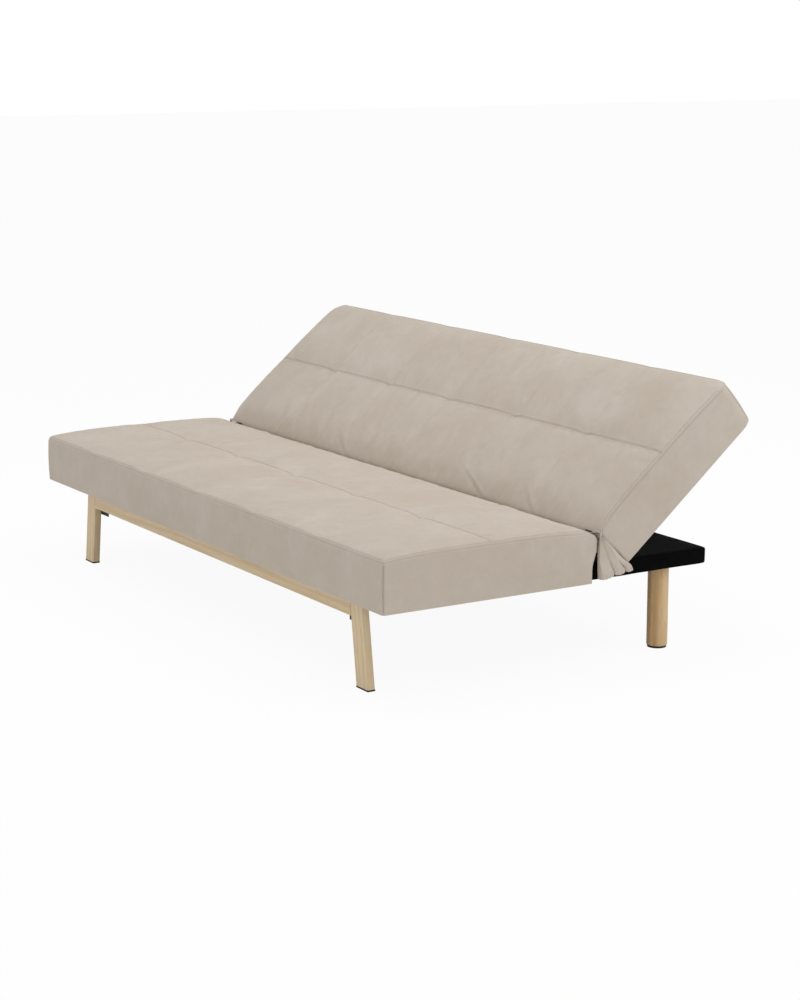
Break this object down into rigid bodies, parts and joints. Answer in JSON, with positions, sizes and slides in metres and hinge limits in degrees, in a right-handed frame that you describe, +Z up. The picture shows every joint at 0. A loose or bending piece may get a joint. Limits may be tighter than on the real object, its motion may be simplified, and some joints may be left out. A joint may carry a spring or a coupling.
{
  "type": "click clack sofa bed",
  "caption": "Three-seat click clack sofa bed: a tufted slab seat and a reclining slab backrest on ratchet hinges, over a low black base with a wooden-look front leg frame and round rear legs.",
  "frame": {"origin": "on the floor, under the middle of the sofa's bounding box with the backrest in its rest pose", "axes": "+X along the sofa to the right as seen from the front, +Y from the front to the back, +Z up"},
  "size_m": [1.8174, 1.0264, 0.6438],
  "materials": {
    "beige_microfibre": "soft brushed nap",
    "upholstery_foam": "open cell, matt",
    "black_cloth": "plain non-woven, matt",
    "elastic_webbing": "woven, matt",
    "pine": "planed, unfinished",
    "turned_beech": "clear satin lacquer",
    "beech_look_steel": "wood-effect foil, satin",
    "black_steel": "powder coat, satin",
    "zinc_steel": "zinc plated",
    "spring_steel": "oiled",
    "black_plastic": "moulded, matt",
    "black_rubber": "matt"
  },
  "bodies": {
    "base": {"seat_cover": "beige_microfibre", "seat_foam_core": "upholstery_foam", "seat_front_foam_strip": "upholstery_foam", "seat_left_foam_strip": "upholstery_foam", "seat_right_foam_strip": "upholstery_foam", "seat_rear_rail": "pine", "seat_front_rail": "pine", "seat_left_rail": "pine", "seat_right_rail": "pine", "seat_centre_brace": "pine", "seat_dust_cloth": "black_cloth", "seat_springs": "spring_steel", "base_cover": "black_cloth", "base_front_rail": "pine", "base_rear_rail": "pine", "base_left_rail": "pine", "base_right_rail": "pine", "base_leg_blocks": "pine", "base_bumpers": "black_rubber", "left_rear_leg": "turned_beech", "right_rear_leg": "turned_beech", "rear_leg_studs": "zinc_steel", "rear_leg_glides": "black_plastic", "front_frame_rail": "beech_look_steel", "left_front_leg": "beech_look_steel", "right_front_leg": "beech_look_steel", "front_leg_caps": "black_plastic", "left_front_bracket": "black_steel", "right_front_bracket": "black_steel", "front_bracket_bolts": "zinc_steel", "front_bracket_screws": "zinc_steel", "left_hinge_inner_plate": "zinc_steel", "right_hinge_inner_plate": "zinc_steel", "left_hinge_outer_plate": "zinc_steel", "right_hinge_outer_plate": "zinc_steel", "hinge_pivot_bolts": "zinc_steel", "hinge_pivot_nuts": "zinc_steel", "hinge_washers": "zinc_steel", "hinge_pawl_pins": "zinc_steel", "hinge_pawl_springs": "spring_steel", "hinge_seat_screws": "zinc_steel", "left_hinge_flap": "beige_microfibre", "right_hinge_flap": "beige_microfibre"},
    "backrest": {"back_cover": "beige_microfibre", "back_foam_core": "upholstery_foam", "back_top_foam_strip": "upholstery_foam", "back_left_foam_strip": "upholstery_foam", "back_right_foam_strip": "upholstery_foam", "back_lower_rail": "pine", "back_top_rail": "pine", "back_left_rail": "pine", "back_right_rail": "pine", "back_centre_brace": "pine", "back_dust_cloth": "black_cloth", "back_webbing": "elastic_webbing", "left_hinge_arm": "zinc_steel", "right_hinge_arm": "zinc_steel", "hinge_back_screws": "zinc_steel"},
    "left_pawl": {"left_pawl": "zinc_steel"},
    "right_pawl": {"right_pawl": "zinc_steel"}
  },
  "joints": [
    {"name": "backrest_hinge", "type": "hinge", "parent": "base", "child": "backrest", "pos_m": [0, 0.06679, 0.313], "axis": [1, 0, 0], "range_deg": [-40, 40], "deforming": ["left_hinge_flap", "right_hinge_flap"]},
    {"name": "left_pawl_pivot", "type": "hinge", "parent": "base", "child": "left_pawl", "pos_m": [-0.856, 0.03227, 0.27847], "axis": [1, 0, 0], "range_deg": [-8, 6], "stiffness_Nm_per_rad": 0.2},
    {"name": "right_pawl_pivot", "type": "hinge", "parent": "base", "child": "right_pawl", "pos_m": [0.856, 0.03227, 0.27847], "axis": [1, 0, 0], "range_deg": [-8, 6], "stiffness_Nm_per_rad": 0.2}
  ]
}
